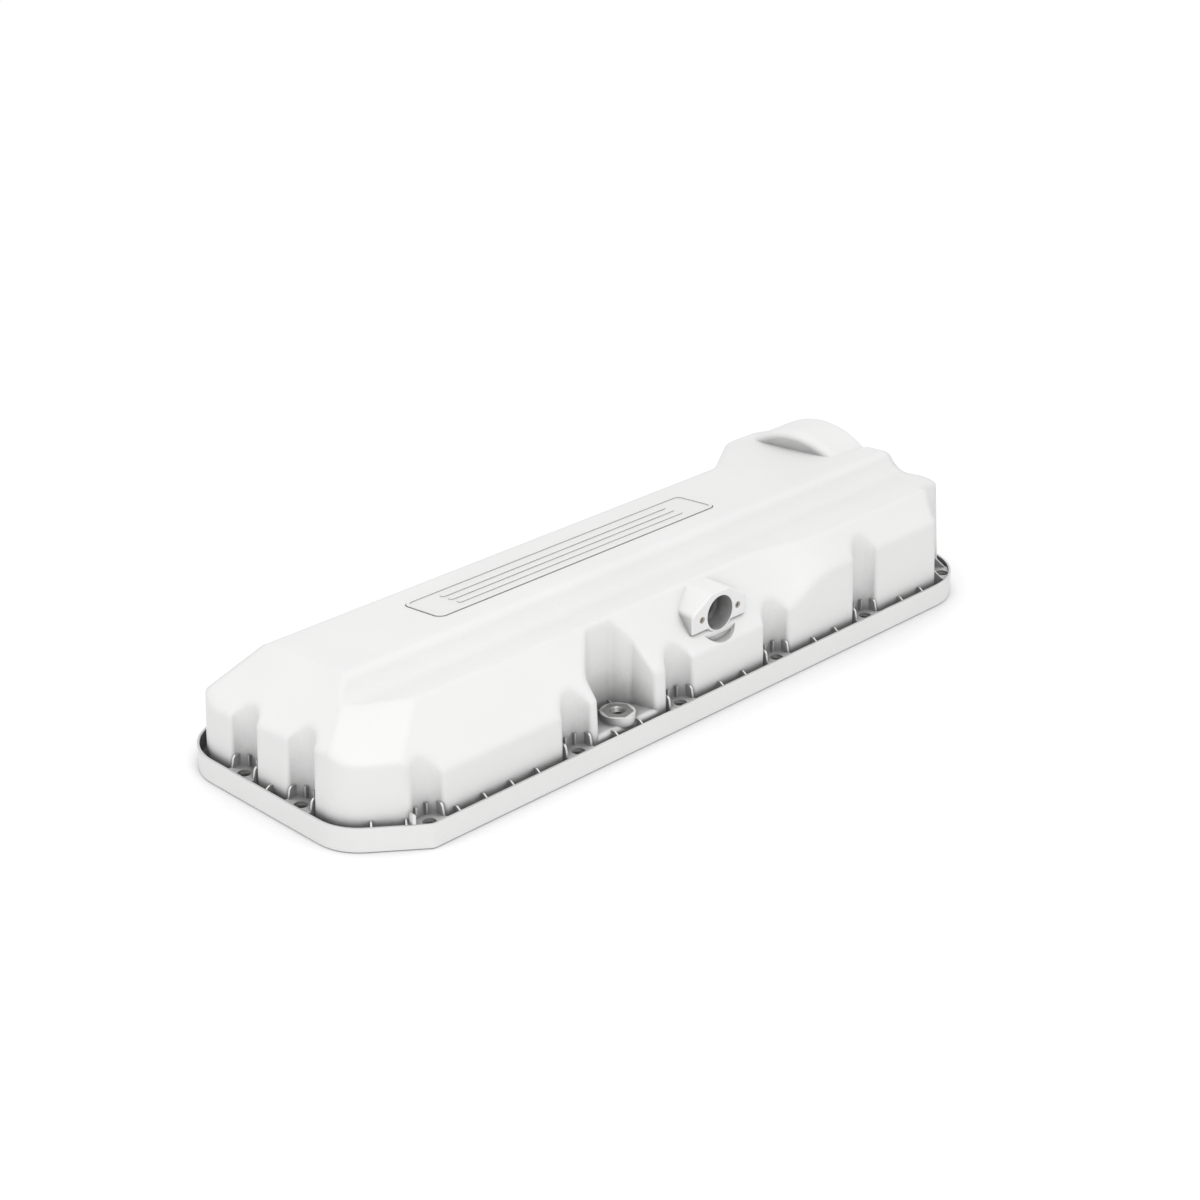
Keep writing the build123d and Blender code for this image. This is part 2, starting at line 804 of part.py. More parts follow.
def name_plate():
    """Plate in the roof recess with a raised rim and plain bars, and nothing written on it."""
    base = one(
        plate_slab(plate_gap, -plate_recess, plate_thickness - plate_recess, plate_corner - plate_gap)
    )
    top = plate_thickness - plate_recess
    top_edges = base.faces().sort_by(Axis.Z)[-1].edges()
    base = one(base.chamfer(0.8, 0.8, top_edges))
    field = plate_slab(
        plate_gap + plate_rim, top - plate_rim_height, top + 5.0, plate_corner - plate_rim
    )
    plate = one(base - field)
    pitch = (plate_width - 2.0 * (plate_gap + plate_rim)) / (plate_bar_count + 1.0)
    bars = []
    for index in range(plate_bar_count):
        v = (index - (plate_bar_count - 1) / 2.0) * pitch
        with BuildSketch(plate_plane.offset(top - plate_rim_height - 0.5)) as sketch:
            with Locations((0, v)):
                SlotOverall(plate_bar_length, plate_bar_width)
        bars.append(extrude(sketch.sketch.face(), amount=plate_rim_height + 0.5))
    return one(plate + bars)


def main():
    os.makedirs("parts", exist_ok=True)
    pieces = {
        "cover_shell": cover_shell(),
        "perimeter_gasket": perimeter_gasket(),
        "hex_insert": hex_insert(),
        "port_insert_left": port_insert(-1),
        "port_insert_right": port_insert(1),
        "name_plate": name_plate(),
    }
    for index, place in enumerate(bolts, start=1):
        pieces[f"bolt_limiter_{index:02d}"] = bolt_limiter(place)
    for name, piece in pieces.items():
        piece = Pos(0, 0, seal_proud) * piece
        piece.label = name
        export_step(piece, os.path.join("parts", name + ".step"))


if __name__ == "__main__":
    main()
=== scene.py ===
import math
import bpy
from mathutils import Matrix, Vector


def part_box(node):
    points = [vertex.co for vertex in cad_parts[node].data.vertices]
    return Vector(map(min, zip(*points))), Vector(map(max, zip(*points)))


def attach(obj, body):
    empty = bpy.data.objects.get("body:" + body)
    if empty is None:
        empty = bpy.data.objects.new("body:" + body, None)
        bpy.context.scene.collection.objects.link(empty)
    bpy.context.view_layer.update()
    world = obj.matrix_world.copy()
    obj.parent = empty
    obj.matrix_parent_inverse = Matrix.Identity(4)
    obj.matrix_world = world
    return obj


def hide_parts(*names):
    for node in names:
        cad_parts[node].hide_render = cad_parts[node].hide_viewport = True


bl_info = {
    "name": "Moulded engine valve cover",
    "version": (1, 0, 0),
    "blender": (4, 5, 0),
    "location": "View3D > Sidebar > Valve cover",
    "description": "Finishes the moulded cover, its seal, limiters, inserts and plain plate",
    "category": "Object",
}

import bmesh
import bpy
from bpy.props import FloatProperty, FloatVectorProperty, PointerProperty
from bpy.types import Operator, Panel, PropertyGroup
from mathutils import Vector

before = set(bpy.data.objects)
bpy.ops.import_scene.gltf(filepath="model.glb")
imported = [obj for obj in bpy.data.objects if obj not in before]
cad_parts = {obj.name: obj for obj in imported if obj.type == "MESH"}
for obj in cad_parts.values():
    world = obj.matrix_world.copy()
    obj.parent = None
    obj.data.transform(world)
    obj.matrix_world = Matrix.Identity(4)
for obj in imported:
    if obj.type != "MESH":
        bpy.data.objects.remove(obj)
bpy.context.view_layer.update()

BODY = "root"
LIMITERS = sorted(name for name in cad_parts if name.startswith("bolt_limiter_"))
BUSHES = ("port_insert_left", "port_insert_right")

# Threads in the bores of the inserts, in metres.
HEX_THREAD = {"Bore Radius": 0.009, "Length": 0.0066, "Pitch": 0.0015}
BUSH_THREAD = {"Bore Radius": 0.0025, "Length": 0.0100, "Pitch": 0.0010}

# Wall behind the relief under the port, in metres and degrees. Its front stands a little
# behind the shell's: most at the seat round the port, least on the face of the relief.
WALL_SEAT = 0.0268
WALL_RADII = (0.0285, 0.031, 0.034, 0.036)
WALL_START = -135.0
WALL_SWEEP = 90.0
WALL_STEPS = 60
SEAT_SUNK = 0.0015
FACE_SUNK = 0.0005
RIM_SUNK = 0.001

WHITE = (1.0, 1.0, 1.0, 1.0)
FLOOR_HALF = 14.0
LAMP_AIM = Vector((0.0, 0.0, 0.08))


def box_middle(node):
    low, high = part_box(node)
    return (Vector(low) + Vector(high)) / 2.0


def port_middle():
    return (box_middle(BUSHES[0]) + box_middle(BUSHES[1])) / 2.0


# ---- settings -------------------------------------------------------------------------
def colour_setting(name, description, default):
    return FloatVectorProperty(
        name=name,
        description=description,
        subtype="COLOR",
        size=4,
        min=0.0,
        max=1.0,
        default=default,
    )


def length_setting(name, description, low, high, default):
    return FloatProperty(
        name=name, description=description, unit="LENGTH", min=low, max=high, default=default
    )


def share_setting(name, description, default):
    return FloatProperty(
        name=name, description=description, subtype="FACTOR", min=0.0, max=1.0, default=default
    )


class MouldingLook(PropertyGroup):
    """Colour and surface of the moulded shell and of its plate, and the shade painted into
    their recesses.
    """

    colour: colour_setting(
        "Polymer colour", "Base colour of the moulded polymer",
        default=(0.86, 0.86, 0.855, 1.0),
    )
    plate_colour: colour_setting(
        "Plate colour", "Base colour of the plain plate on the roof",
        default=(0.83, 0.83, 0.82, 1.0),
    )
    roughness: share_setting(
        "Roughness", "Mean roughness of the moulded skin", default=0.46
    )
    grain_size: length_setting(
        "Grain size", "Width of one pit of the spark-eroded mould skin",
        low=0.0002, high=0.01, default=0.0011,
    )
    grain_depth: length_setting(
        "Grain depth", "Depth of the mould skin's pits",
        low=0.0, high=0.001, default=0.00004,
    )
    edge_round: length_setting(
        "Edge round", "Radius that thin ribs and rims are softened by",
        low=0.0, high=0.003, default=0.0008,
    )
    crown_round: length_setting(
        "Crown round", "Radius that the broad faces of the crown blend with",
        low=0.0, high=0.03, default=0.012,
    )
    # The next three settings paint shade into the colour of recesses: its tone, its strength
    # in the deepest recess, and its reach from a neighbouring wall.
    painted_shade_colour: colour_setting(
        "Painted shade colour", "Colour of the dust and oil film that settles in recesses",
        default=(0.10, 0.10, 0.10, 1.0),
    )
    painted_shade_amount: share_setting(
        "Painted shade amount", "How much of the surface the film covers in the deepest recess",
        default=0.92,
    )
    painted_shade_reach: length_setting(
        "Painted shade reach", "How far from a neighbouring wall the film still settles",
        low=0.001, high=0.2, default=0.065,
    )
    relief_radius: length_setting(
        "Relief radius", "Radius of the relief in the wall round the port",
        low=0.01, high=0.1, default=0.037,
    )
    relief_wall: length_setting(
        "Relief wall", "Thickness of the wall behind that relief",
        low=0.001, high=0.01, default=0.004,
    )


class SealLook(PropertyGroup):
    """Section and beads of the pressed-in seal."""

    width: length_setting(
        "Width", "Width of the seal's body across the groove",
        low=0.001, high=0.02, default=0.0047,
    )
    lip_radius: length_setting(
        "Lip radius", "Radius of the two lips that press on the head",
        low=0.0002, high=0.003, default=0.0009,
    )
    lip_spacing: length_setting(
        "Lip spacing", "Distance between the two lips", low=0.0, high=0.01, default=0.0026
    )
    nub_pitch: length_setting(
        "Nub pitch", "Distance between the nubs that hold the seal in its groove",
        low=0.005, high=0.2, default=0.024,
    )
    nub_radius: length_setting(
        "Nub radius", "Radius of one upright holding nub",
        low=0.0003, high=0.003, default=0.0011,
    )
    step: length_setting(
        "Step", "Distance between the sections along the seal",
        low=0.001, high=0.02, default=0.0035,
    )


class MetalLook(PropertyGroup):
    """Rolled steel limiters, bushes and threads."""

    limiter_wall: length_setting(
        "Limiter wall", "Thickness of the rolled strip",
        low=0.0005, high=0.006, default=0.0025,
    )
    steel_colour: colour_setting(
        "Steel colour", "Base colour of the zinc-plated steel",
        default=(0.44, 0.44, 0.43, 1.0),
    )
    bush_colour: colour_setting(
        "Bush colour", "Base colour of the two port bushes", default=(0.40, 0.38, 0.34, 1.0)
    )
    slit: length_setting(
        "Slit", "Width of the open seam of a rolled limiter",
        low=0.0, high=0.005, default=0.0011,
    )
    edge_break: length_setting(
        "Edge break", "Radius on the rims of a limiter", low=0.0, high=0.002, default=0.0006
    )
    thread_ridge: length_setting(
        "Thread ridge", "Height of a thread's ridge above its bore",
        low=0.0001, high=0.002, default=0.0006,
    )


class StageLook(PropertyGroup):
    """Camera, floor and lights."""

    eye: FloatVectorProperty(
        name="Eye",
        description="Where the camera stands, in the cover's frame",
        subtype="TRANSLATION",
        unit="LENGTH",
        size=3,
        default=(-2.07673, -2.07357, 1.46817),
    )
    elevation: FloatProperty(
        name="Elevation",
        description="How far the camera looks down",
        subtype="ANGLE",
        default=math.radians(25.0),
    )
    azimuth: FloatProperty(
        name="Azimuth",
        description="Direction that the camera looks in, from +X towards +Y",
        subtype="ANGLE",
        default=math.radians(45.0),
    )
    lens: FloatProperty(
        name="Lens",
        description="Focal length on a 36 mm sensor, in millimetres",
        min=10.0,
        max=300.0,
        default=74.91,
    )
    floor_colour: colour_setting(
        "Floor colour", "Colour of the plain floor where it is seen",
        default=(0.72, 0.72, 0.72, 1.0),
    )
    floor_bounce: colour_setting(
        "Floor bounce", "Colour of the light that the floor sends back to the cover",
        default=(0.70, 0.70, 0.70, 1.0),
    )
    floor_glow: FloatProperty(
        name="Floor glow",
        description="Plain level that the camera and reflections see on the open floor",
        min=0.0,
        max=1.0,
        default=0.42,
    )
    # Reach of the shadow painted into the floor's glow round the cover.
    shadow_reach: length_setting(
        "Shadow reach",
        "Distance from the cover at which the floor's plain level is whole again",
        low=0.05, high=2.0, default=0.35,
    )
    sky_strength: FloatProperty(
        name="Sky strength",
        description="Strength of the even light from all round",
        min=0.0,
        max=3.0,
        default=0.80,
    )
    key_power: FloatProperty(
        name="Key power",
        description="Power of the large soft lamp",
        unit="POWER",
        min=0.0,
        max=2000.0,
        default=42.0,
    )


# ---- nodes ----------------------------------------------------------------------------
def add_socket(tree, name, way, kind, value=None):
    socket = tree.interface.new_socket(name=name, in_out=way, socket_type=kind)
    if value is not None:
        socket.default_value = value
    return socket


def node(tree, kind, place=(0, 0), **values):
    made = tree.nodes.new(kind)
    made.location = place
    for key, value in values.items():
        setattr(made, key, value)
    return made


def feed(tree, sockets, values):
    """Gives each socket its plain number, or the link from another socket."""
    for socket, value in zip(sockets, values):
        if isinstance(value, (int, float)):
            socket.default_value = value
        else:
            tree.links.new(value, socket)


def maths(tree, operation, first, second, place=(0, 0)):
    """A Math node; first and second are sockets or plain numbers."""
    made = node(tree, "ShaderNodeMath", place, operation=operation)
    feed(tree, made.inputs, (first, second))
    return made.outputs[0]


def times_plus(tree, first, second, third, place=(0, 0)):
    made = node(tree, "ShaderNodeMath", place, operation="MULTIPLY_ADD")
    feed(tree, made.inputs, (first, second, third))
    return made.outputs[0]


def vector(tree, x, y, z, place=(0, 0)):
    made = node(tree, "ShaderNodeCombineXYZ", place)
    feed(tree, made.inputs, (x, y, z))
    return made.outputs[0]


def noise(tree, coord, scale, detail, place):
    """Noise over the object's own coordinates."""
    made = node(tree, "ShaderNodeTexNoise", place)
    feed(tree, (made.inputs["Scale"], made.inputs["Detail"]), (scale, detail))
    tree.links.new(coord.outputs["Object"], made.inputs["Vector"])
    return made


def remap(tree, value, span, target=(0.0, 1.0), smooth=False, place=(0, 0)):
    """Carries a value from one span to another and stops at the ends."""
    made = node(tree, "ShaderNodeMapRange", place)
    if smooth:
        made.interpolation_type = "SMOOTHSTEP"
    feed(tree, made.inputs, (value, *span, *target))
    return made.outputs["Result"]


def multiplied(tree, colour, mask, place):
    made = node(tree, "ShaderNodeMix", place, data_type="RGBA", blend_type="MULTIPLY")
    made.inputs["Factor"].default_value = 1.0
    tree.links.new(colour, made.inputs[6])
    tree.links.new(mask, made.inputs[7])
    return made.outputs[2]


def uneven(tree, middle, mask, swing):
    """A roughness that swings about its middle with a mask."""
    return times_plus(tree, mask, swing, maths(tree, "SUBTRACT", middle, swing / 2.0))


# ---- shader groups --------------------------------------------------------------------
def shader_tree(name, inputs, outputs):
    """A shader group with named inputs and outputs."""
    tree = bpy.data.node_groups.new(name, "ShaderNodeTree")
    for label, kind, value in inputs:
        add_socket(tree, label, "INPUT", "NodeSocket" + kind, value)
    for label, kind in outputs:
        add_socket(tree, label, "OUTPUT", "NodeSocket" + kind)
    given = node(tree, "NodeGroupInput", (-1200, 0)).outputs
    out = node(tree, "NodeGroupOutput", (900, 0)).inputs
    return tree, given, out


def group_mould_skin():
    """Fine pits and slow colour drift of a moulded polymer skin."""
    tree, given, out = shader_tree(
        "mould_skin",
        (
            ("Colour", "Color", (0.8, 0.8, 0.8, 1.0)),
            ("Roughness", "Float", 0.45),
            ("Grain Size", "Float", 0.001),
            ("Drift", "Float", 0.03),
        ),
        (("Colour", "Color"), ("Roughness", "Float"), ("Height", "Float")),
    )
    link = tree.links.new
    coord = node(tree, "ShaderNodeTexCoord", (-900, -300))
    pits_per_metre = maths(tree, "DIVIDE", 1.0, given["Grain Size"], (-700, -200))
    fine = noise(tree, coord, scale=pits_per_metre, detail=3.0, place=(-450, -150))
    fine.inputs["Roughness"].default_value = 0.55
    slow = noise(tree, coord, scale=7.0, detail=3.0, place=(-450, 250))
    flow = noise(tree, coord, scale=32.0, detail=4.0, place=(-450, 50))
    darkest = maths(tree, "SUBTRACT", 1.0, given["Drift"], (-420, 450))
    drift = remap(
        tree, slow.outputs["Fac"], span=(0.3, 0.7), target=(darkest, 1.0), place=(-200, 250)
    )
    rough = uneven(tree, given["Roughness"], flow.outputs["Fac"], swing=0.12)
    link(multiplied(tree, given["Colour"], drift, (150, 200)), out["Colour"])
    link(rough, out["Roughness"])
    link(fine.outputs["Fac"], out["Height"])
    return tree


def group_painted_recess_shade(name, own_walls_only):
    """Shade painted into the colour, with a duller surface, where walls stand close together.
    """
    tree, given, out = shader_tree(
        name,
        (
            ("Colour", "Color", (0.8, 0.8, 0.8, 1.0)),
            ("Roughness", "Float", 0.45),
            ("Painted Shade Colour", "Color", (0.2, 0.2, 0.2, 1.0)),
            ("Painted Shade Reach", "Float", 0.05),
            ("Painted Shade Amount", "Float", 0.7),
        ),
        (("Colour", "Color"), ("Roughness", "Float")),
    )
    link = tree.links.new
    # Ambient occlusion drives the painted shade: the more closed in a point is, the darker its
    # colour.
    open_air = node(tree, "ShaderNodeAmbientOcclusion", (-650, 200), samples=8)
    open_air.only_local = own_walls_only
    link(given["Painted Shade Reach"], open_air.inputs["Distance"])
    closed = remap(
        tree, open_air.outputs["AO"], span=(0.96, 0.28), smooth=True, place=(-400, 200)
    )
    coord = node(tree, "ShaderNodeTexCoord", (-900, -300))
    patch = noise(tree, coord, scale=55.0, detail=5.0, place=(-650, -200))
    broken = remap(
        tree, patch.outputs["Fac"], span=(0.3, 0.7), target=(0.86, 1.0), place=(-400, -200)
    )
    share = maths(tree, "MULTIPLY", closed, broken, (-150, 100))
    cover = maths(tree, "MULTIPLY", share, given["Painted Shade Amount"], (50, 100))
    tint = node(tree, "ShaderNodeMix", (300, 150), data_type="RGBA")
    link(cover, tint.inputs[0])
    link(given["Colour"], tint.inputs[6])
    link(given["Painted Shade Colour"], tint.inputs[7])
    link(tint.outputs[2], out["Colour"])
    link(times_plus(tree, cover, 0.25, given["Roughness"], (300, -100)), out["Roughness"])
    return tree


def group_soft_edges():
    """Radius of the edge blend: broad on the crown, fine on ribs, port, recess and dome."""
    lengths = ("Fine", "Broad", "Start Height", "Port Reach", "Dome Reach")
    places = ("Port Centre", "Dome Centre", "Plate Centre", "Plate Half Size")
    tree, given, out = shader_tree(
        "soft_edges",
        [(label, "Float", 0.001) for label in lengths]
        + [(label, "Vector", None) for label in places],
        (("Radius", "Float"),),
    )
    coord = node(tree, "ShaderNodeTexCoord", (-1200, -400))
    place = coord.outputs["Object"]

    def ramp(value, start, run):
        end = start + run if isinstance(start, float) else maths(tree, "ADD", start, run)
        return remap(tree, value, (start, end), smooth=True, place=(-200, 0))

    def between(operation, first, second, where):
        made = node(tree, "ShaderNodeVectorMath", where, operation=operation)
        tree.links.new(first, made.inputs[0])
        if second is not None:
            tree.links.new(second, made.inputs[1])
        return made.outputs

    parts = node(tree, "ShaderNodeSeparateXYZ", (-900, -300))
    tree.links.new(place, parts.inputs[0])
    mask = ramp(parts.outputs["Z"], given["Start Height"], run=0.02)
    for centre, reach in (("Port Centre", "Port Reach"), ("Dome Centre", "Dome Reach")):
        away = between("DISTANCE", place, given[centre], (-700, 200))["Value"]
        mask = maths(tree, "MULTIPLY", mask, ramp(away, given[reach], run=0.015))
    off = between("SUBTRACT", place, given["Plate Centre"], (-700, -100))[0]
    size = between("ABSOLUTE", off, None, (-500, -100))[0]
    beyond = between("SUBTRACT", size, given["Plate Half Size"], (-300, -100))[0]
    sides = node(tree, "ShaderNodeSeparateXYZ", (-100, -100))
    tree.links.new(beyond, sides.inputs[0])
    clear = maths(tree, "MAXIMUM", sides.outputs["X"], sides.outputs["Y"])
    mask = maths(tree, "MULTIPLY", mask, ramp(clear, 0.004, run=0.012))
    spread = maths(tree, "SUBTRACT", given["Broad"], given["Fine"])
    tree.links.new(times_plus(tree, mask, spread, given["Fine"]), out["Radius"])
    return tree


def group_turned_metal():
    """Fine turning lines across the axis of a turned part, with dull patches."""
    tree, given, out = shader_tree(
        "turned_metal",
        (
            ("Colour", "Color", (0.6, 0.6, 0.6, 1.0)),
            ("Roughness", "Float", 0.35),
            ("Line Scale", "Float", 900.0),
        ),
        (("Colour", "Color"), ("Roughness", "Float"), ("Height", "Float")),
    )
    link = tree.links.new
    coord = node(tree, "ShaderNodeTexCoord", (-900, -300))
    lines = node(tree, "ShaderNodeTexWave", (-450, -200), bands_direction="Z")
    lines.inputs["Distortion"].default_value = 1.5
    lines.inputs["Detail"].default_value = 2.0
    link(coord.outputs["Object"], lines.inputs["Vector"])
    link(given["Line Scale"], lines.inputs["Scale"])
    patch = noise(tree, coord, scale=160.0, detail=4.0, place=(-450, 150))
    dull = remap(
        tree, patch.outputs["Fac"], span=(0.0, 1.0), target=(0.82, 1.0), place=(-200, 150)
    )
    rough = uneven(tree, given["Roughness"], patch.outputs["Fac"], swing=0.2)
    link(multiplied(tree, given["Colour"], dull, (100, 150)), out["Colour"])
    link(rough, out["Roughness"])
    link(lines.outputs["Fac"], out["Height"])
    return tree


def shared_group(name, builder):
    return bpy.data.node_groups.get(name) or builder()


# Painted recess shade, from the piece's own walls only or from all walls near it.
def painted_shade_group(own_walls_only):
    name = "painted_recess_shade" if own_walls_only else "painted_shade_in_gaps"
    return shared_group(name, lambda: group_painted_recess_shade(name, own_walls_only))


# ---- materials ------------------------------------------------------------------------
def moulded_settings(look):
    """Inputs of the mould group for the shell's own polymer."""
    return {
        "Colour": look.colour,
        "Roughness": look.roughness,
        "Grain Size": look.grain_size,
        "Drift": 0.03,
    }


def painted_shade_settings(look, reach):
    """Inputs of the painted-shade group, with a share of the cover's own reach."""
    return {
        "Painted Shade Colour": look.painted_shade_colour,
        "Painted Shade Amount": look.painted_shade_amount,
        "Painted Shade Reach": look.painted_shade_reach * reach,
    }


def crown_blend(look):
    """Inputs of the edge blend, placed by the bushes, the plate and the roof's high end."""
    port = port_middle()
    port.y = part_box(BUSHES[0])[0].y
    low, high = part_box("name_plate")
    shell_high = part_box("cover_shell")[1]
    return {
        "Fine": look.edge_round,
        "Broad": look.crown_round,
        "Start Height": 0.062,
        "Port Centre": port,
        "Port Reach": 0.068,
        "Dome Centre": (shell_high.x - 0.055, 0.07, shell_high.z - 0.02),
        "Dome Reach": 0.105,
        "Plate Centre": box_middle("name_plate"),
        "Plate Half Size": (high - low) / 2.0,
    }


def surface(
    name,
    group,
    settings,
    bump,
    soften=0.0,
    metallic=0.0,
    specular=0.5,
    painted_shade=None,
    own_walls_only=True,
):
    """Principled material fed by a shader group, with shade painted over its colour in
    recesses where it has one.
    """
    made = bpy.data.materials.new(name)
    made.use_nodes = True
    tree = made.node_tree
    tree.nodes.clear()
    out = node(tree, "ShaderNodeOutputMaterial", (600, 0))
    skin = node(tree, "ShaderNodeBsdfPrincipled", (250, 0))
    skin.inputs["Metallic"].default_value = metallic
    skin.inputs["Specular IOR Level"].default_value = specular
    relief = node(tree, "ShaderNodeBump", (0, -250))
    relief.inputs["Distance"].default_value = bump
    relief.inputs["Strength"].default_value = 1.0
    link = tree.links.new

    def placed(group, values, place):
        made = node(tree, "ShaderNodeGroup", place, node_tree=group)
        for key, value in values.items():
            made.inputs[key].default_value = value
        return made

    finish = texture = placed(group, settings, (-300, 0))
    # Painted shade in recesses darkens the group's colour here.
    if painted_shade:
        finish = placed(painted_shade_group(own_walls_only), painted_shade, (0, 150))
        link(texture.outputs["Colour"], finish.inputs["Colour"])
        link(texture.outputs["Roughness"], finish.inputs["Roughness"])
    link(finish.outputs["Colour"], skin.inputs["Base Color"])
    link(finish.outputs["Roughness"], skin.inputs["Roughness"])
    link(texture.outputs["Height"], relief.inputs["Height"])
    if soften:
        rounded = node(tree, "ShaderNodeBevel", (-250, -350), samples=8)
        link(rounded.outputs["Normal"], relief.inputs["Normal"])
        if isinstance(soften, dict):
            edges = shared_group("soft_edges", group_soft_edges)
            blend = placed(edges, soften, (-450, -350))
            link(blend.outputs["Radius"], rounded.inputs["Radius"])
        else:
            rounded.inputs["Radius"].default_value = soften
    link(relief.outputs["Normal"], skin.inputs["Normal"])
    link(skin.outputs["BSDF"], out.inputs["Surface"])
    return made


def turned_surface(name, colour, roughness, line_scale):
    """Turned metal, made once under each name."""
    made = bpy.data.materials.get(name)
    return made or surface(
        name,
        shared_group("turned_metal", group_turned_metal),
        {"Colour": colour, "Roughness": roughness, "Line Scale": line_scale},
        bump=0.00002,
        metallic=1.0,
    )


def steel_surface(look):
    return turned_surface(
        "zinc_plated_steel", look.steel_colour, roughness=0.36, line_scale=900.0
    )


def dress(node_name, material):
    """Gives a carried-over node its material."""
    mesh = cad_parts[node_name].data
    if not mesh.materials:
        mesh.materials.append(material)
    for index in range(len(mesh.materials)):
        mesh.materials[index] = material


def seen_rays(tree):
    """1 for what the camera sees, straight or in metal, and 0 for the light on the cover."""
    path = node(tree, "ShaderNodeLightPath", (-600, 400))
    straight = path.outputs["Is Camera Ray"]
    mirrored = maths(tree, "MAXIMUM", path.outputs["Is Glossy Ray"], straight, (-400, 400))
    return maths(
        tree, "MAXIMUM", path.outputs["Is Transmission Ray"], mirrored, (-200, 400)
    )


# ---- Geometry Nodes -------------------------------------------------------------------
def geometry_tree(name, numbers, vectors=()):
    """A tree from geometry to geometry, with named inputs for its sizes and its material."""
    tree = bpy.data.node_groups.new(name, "GeometryNodeTree")
    add_socket(tree, "Geometry", "INPUT", "NodeSocketGeometry")
    for label in numbers:
        add_socket(tree, label, "INPUT", "NodeSocketFloat")
    for label in vectors:
        add_socket(tree, label, "INPUT", "NodeSocketVector")
    add_socket(tree, "Material", "INPUT", "NodeSocketMaterial")
    add_socket(tree, "Geometry", "OUTPUT", "NodeSocketGeometry")
    given = node(tree, "NodeGroupInput", (-1400, 0)).outputs
    out = node(tree, "NodeGroupOutput", (1400, 0)).inputs
    return tree, given, out


def swept(tree, path, profile, caps=False, place=(0, 0)):
    made = node(tree, "GeometryNodeCurveToMesh", place)
    made.inputs["Fill Caps"].default_value = caps
    tree.links.new(path, made.inputs["Curve"])
    tree.links.new(profile, made.inputs["Profile Curve"])
    return made.outputs["Mesh"]


def close_tree(tree, out, parts, material):
    """Joins the parts, realizes instances and sets the material."""
    link = tree.links.new
    joined = node(tree, "GeometryNodeJoinGeometry", (700, 0))
    for part in parts:
        link(part, joined.inputs[0])
    real = node(tree, "GeometryNodeRealizeInstances", (900, 0))
    painted = node(tree, "GeometryNodeSetMaterial", (1100, 0))
    link(joined.outputs[0], real.inputs[0])
    link(real.outputs[0], painted.inputs["Geometry"])
    link(material, painted.inputs["Material"])
    link(painted.outputs[0], out["Geometry"])


def tree_seal():
    """Body, two lips and holding nubs of a seal along a closed line."""
    lips = ("Lip Radius", "Lip Spacing")
    nubs = ("Nub Pitch", "Nub Radius")
    tree, given, out = geometry_tree("seal_section", ("Width", "Height", *lips, *nubs, "Step"))
    link = tree.links.new
    upright = node(tree, "GeometryNodeSetCurveNormal", (-1150, 200), mode="Z_UP")
    link(given["Geometry"], upright.inputs["Curve"])
    even = node(tree, "GeometryNodeResampleCurve", (-950, 200), mode="LENGTH")
    link(upright.outputs[0], even.inputs["Curve"])
    link(given["Step"], even.inputs["Length"])
    path = even.outputs["Curve"]

    lip_drop = maths(tree, "MULTIPLY", given["Lip Radius"], 1.1, (-1150, -100))
    tall = maths(tree, "SUBTRACT", given["Height"], lip_drop, (-950, -100))
    box = node(tree, "GeometryNodeCurvePrimitiveQuadrilateral", (-700, 0))
    link(given["Width"], box.inputs["Width"])
    link(tall, box.inputs["Height"])
    rounded = node(tree, "GeometryNodeFilletCurve", (-500, 0), mode="POLY")
    rounded.inputs["Count"].default_value = 3
    link(box.outputs[0], rounded.inputs["Curve"])
    link(maths(tree, "MULTIPLY", given["Width"], 0.2, (-700, -180)), rounded.inputs["Radius"])
    raised = node(tree, "GeometryNodeTransform", (-300, 0))
    link(rounded.outputs[0], raised.inputs["Geometry"])
    lift = vector(tree, 0.0, maths(tree, "MULTIPLY", lip_drop, 0.5), 0.0)
    link(lift, raised.inputs["Translation"])
    parts = [swept(tree, path, raised.outputs[0], place=(0, 0))]

    round_lip = node(tree, "GeometryNodeCurvePrimitiveCircle", (-700, -400))
    round_lip.inputs["Resolution"].default_value = 10
    link(given["Lip Radius"], round_lip.inputs["Radius"])
    half_height = maths(tree, "MULTIPLY", given["Height"], -0.5, (-700, -600))
    lip_y = maths(tree, "ADD", half_height, given["Lip Radius"], (-500, -600))
    for side in (-0.5, 0.5):
        shifted = node(tree, "GeometryNodeTransform", (-300, -400))
        lip_x = maths(tree, "MULTIPLY", given["Lip Spacing"], side)
        link(round_lip.outputs["Curve"], shifted.inputs["Geometry"])
        link(vector(tree, lip_x, lip_y, 0.0), shifted.inputs["Translation"])
        parts.append(swept(tree, path, shifted.outputs[0], place=(0, -400)))

    spots = node(tree, "GeometryNodeResampleCurve", (-950, 600), mode="LENGTH")
    link(upright.outputs[0], spots.inputs["Curve"])
    link(given["Nub Pitch"], spots.inputs["Length"])
    nub = node(tree, "GeometryNodeMeshCylinder", (-700, 800))
    nub.inputs["Vertices"].default_value = 10
    link(given["Nub Radius"], nub.inputs["Radius"])
    link(maths(tree, "MULTIPLY", given["Height"], 0.62), nub.inputs["Depth"])
    across = node(tree, "GeometryNodeInputNormal", (-950, 900))
    reach = maths(tree, "SUBTRACT", given["Width"], given["Nub Radius"])
    for side in (-0.5, 0.5):
        shift = node(tree, "ShaderNodeVectorMath", (-500, 700), operation="SCALE")
        link(across.outputs["Normal"], shift.inputs[0])
        link(maths(tree, "MULTIPLY", reach, side), shift.inputs["Scale"])
        moved = node(tree, "GeometryNodeSetPosition", (-300, 600))
        link(spots.outputs["Curve"], moved.inputs["Geometry"])
        link(shift.outputs[0], moved.inputs["Offset"])
        placed = node(tree, "GeometryNodeInstanceOnPoints", (0, 600))
        link(moved.outputs[0], placed.inputs["Points"])
        link(nub.outputs["Mesh"], placed.inputs["Instance"])
        parts.append(placed.outputs[0])
    close_tree(tree, out, parts, given["Material"])
    return tree


